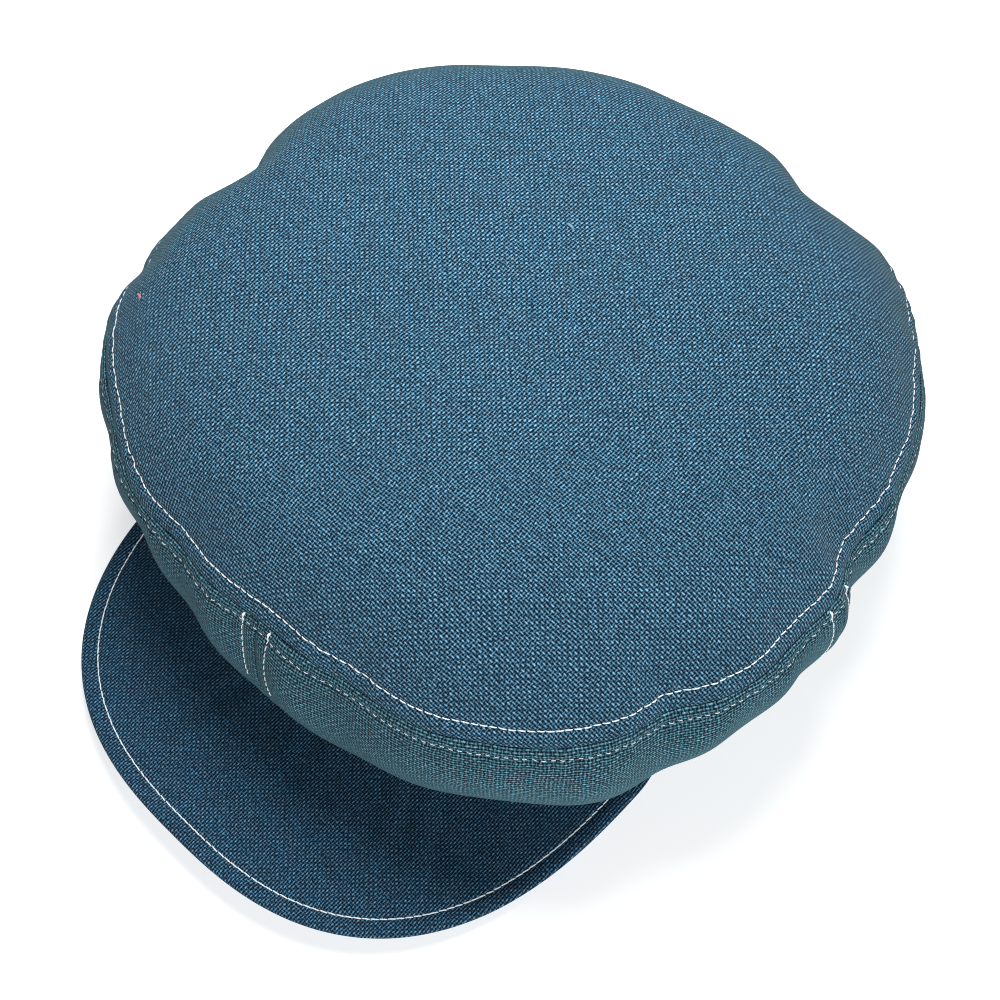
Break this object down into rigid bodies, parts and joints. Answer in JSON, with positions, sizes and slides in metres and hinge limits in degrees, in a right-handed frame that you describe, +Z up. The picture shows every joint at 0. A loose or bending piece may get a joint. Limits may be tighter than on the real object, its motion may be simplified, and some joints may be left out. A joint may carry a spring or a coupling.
{
  "type": "rasta crown hat",
  "caption": "Roomy peaked crown cap of coarse woven cloth: wide puffy round top, gathered side panels, oval headband and broad stiffened front peak, topstitched along its seams.",
  "frame": {"origin": "on the surface that the cap stands on, under the middle of the cap's box", "axes": "+Z up through the crown, -Y ahead over the peak, +X to the cap's left as its wearer sees it"},
  "size_m": [0.2798, 0.3258, 0.1125],
  "materials": {
    "crown_cloth": "matt coarse teal-blue plain weave",
    "side_cloth": "matt coarse teal-blue plain weave, slack",
    "band_cloth": "matt coarse teal-blue plain weave",
    "peak_cloth": "matt teal-blue plain weave over a stiff board",
    "thread": "off-white topstitching thread"
  },
  "bodies": {
    "root": {"crown_top": "crown_cloth", "side_panel_1": "side_cloth", "side_panel_2": "side_cloth", "side_panel_3": "side_cloth", "side_panel_4": "side_cloth", "headband": "band_cloth", "peak": "peak_cloth"}
  },
  "joints": []
}
